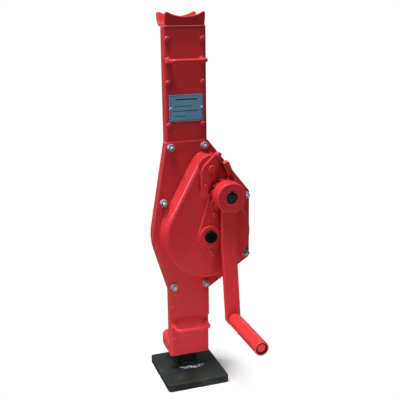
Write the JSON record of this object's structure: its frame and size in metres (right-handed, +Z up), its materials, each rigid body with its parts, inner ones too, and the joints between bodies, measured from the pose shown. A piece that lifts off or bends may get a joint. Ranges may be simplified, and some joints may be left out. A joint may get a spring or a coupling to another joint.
{
  "type": "rack and pinion jack",
  "caption": "Upright steel jack: a crank and gear train climb a fixed toothed rack, lifting a stock with a horned head and a low toe claw; a pawl and ratchet hold it.",
  "frame": {"origin": "on the foot plate's underside, midway across it and 61 mm behind its front edge", "axes": "+Z up along the rack, -Y towards the operator who turns the crank, +X to the operator's right"},
  "size_m": [0.1988, 0.299, 0.7264],
  "materials": {
    "red_paint": "gloss",
    "dark_steel": "scaled, worn edges",
    "weld_metal": "as welded",
    "bare_aluminium": "satin",
    "zinc_steel": "zinc plated",
    "machined_steel": "machined",
    "black_steel": "blackened",
    "bronze": "machined"
  },
  "bodies": {
    "foot": {"base_plate": "dark_steel", "rack": "dark_steel", "foot_weld": "weld_metal"},
    "stock": {"back_plate": "red_paint", "upper_channel": "red_paint", "lower_channel": "red_paint", "lower_front_sheet": "red_paint", "rear_channel": "red_paint", "head_saddle": "red_paint", "toe_claw": "red_paint", "upper_handle": "red_paint", "lower_handle": "red_paint", "nameplate": "bare_aluminium", "nameplate_pins": "zinc_steel", "column_rivets": "red_paint", "lower_rivets": "red_paint", "sheet_rivet": "red_paint", "left_gearbox_wall": "red_paint", "right_gearbox_wall": "red_paint", "gear_cover": "red_paint", "bearing_plate": "red_paint", "bearing_plate_rivets": "red_paint", "cover_bolts": "zinc_steel", "cover_washers": "zinc_steel", "cover_nuts": "zinc_steel", "bolt_spacers": "machined_steel", "pinion_housing": "red_paint", "housing_screws": "black_steel", "front_gear_bush": "red_paint", "rear_gear_bush": "bronze", "front_crank_bush": "bronze", "rear_crank_bush": "bronze", "pawl_pin": "red_paint", "pawl_spring": "dark_steel", "stop_lug": "red_paint"},
    "gear": {"gear_shaft": "machined_steel", "drive_gear": "machined_steel", "shaft_cap": "black_steel"},
    "crank": {"crank_shaft": "machined_steel", "ratchet_wheel": "red_paint", "crank_hub": "red_paint", "crank_key": "machined_steel", "hub_ring": "machined_steel", "crank_arm": "red_paint", "grip_spindle": "red_paint"},
    "grip": {"grip_sleeve": "red_paint"},
    "pawl": {"pawl": "red_paint", "pawl_knob": "red_paint"}
  },
  "joints": [
    {"name": "lift", "type": "slide", "parent": "foot", "child": "stock", "axis": [0, 0, 1], "range_m": [0, 0.3536]},
    {"name": "crank_turn", "type": "hinge", "parent": "stock", "child": "crank", "pos_m": [0.06478, 0, 0.38852], "axis": [0, 1, 0], "range_deg": [0, 6120]},
    {"name": "gear_turn", "type": "hinge", "parent": "stock", "child": "gear", "pos_m": [0.033, 0, 0.307], "axis": [0, 1, 0], "range_deg": [-1266.3, 0]},
    {"name": "pawl_swing", "type": "hinge", "parent": "stock", "child": "pawl", "pos_m": [0.0355, 0, 0.4409], "axis": [0, 1, 0], "range_deg": [-5, 15], "stiffness_Nm_per_rad": 0.5},
    {"name": "grip_turn", "type": "hinge", "parent": "crank", "child": "grip", "pos_m": [0.06478, 0, 0.14852], "axis": [0, 1, 0], "continuous": true}
  ],
  "couplings": [
    {"joint": "lift", "follows": "crank_turn", "m_per_rad": 0.0033103},
    {"joint": "gear_turn", "follows": "crank_turn", "ratio": -0.2069}
  ]
}
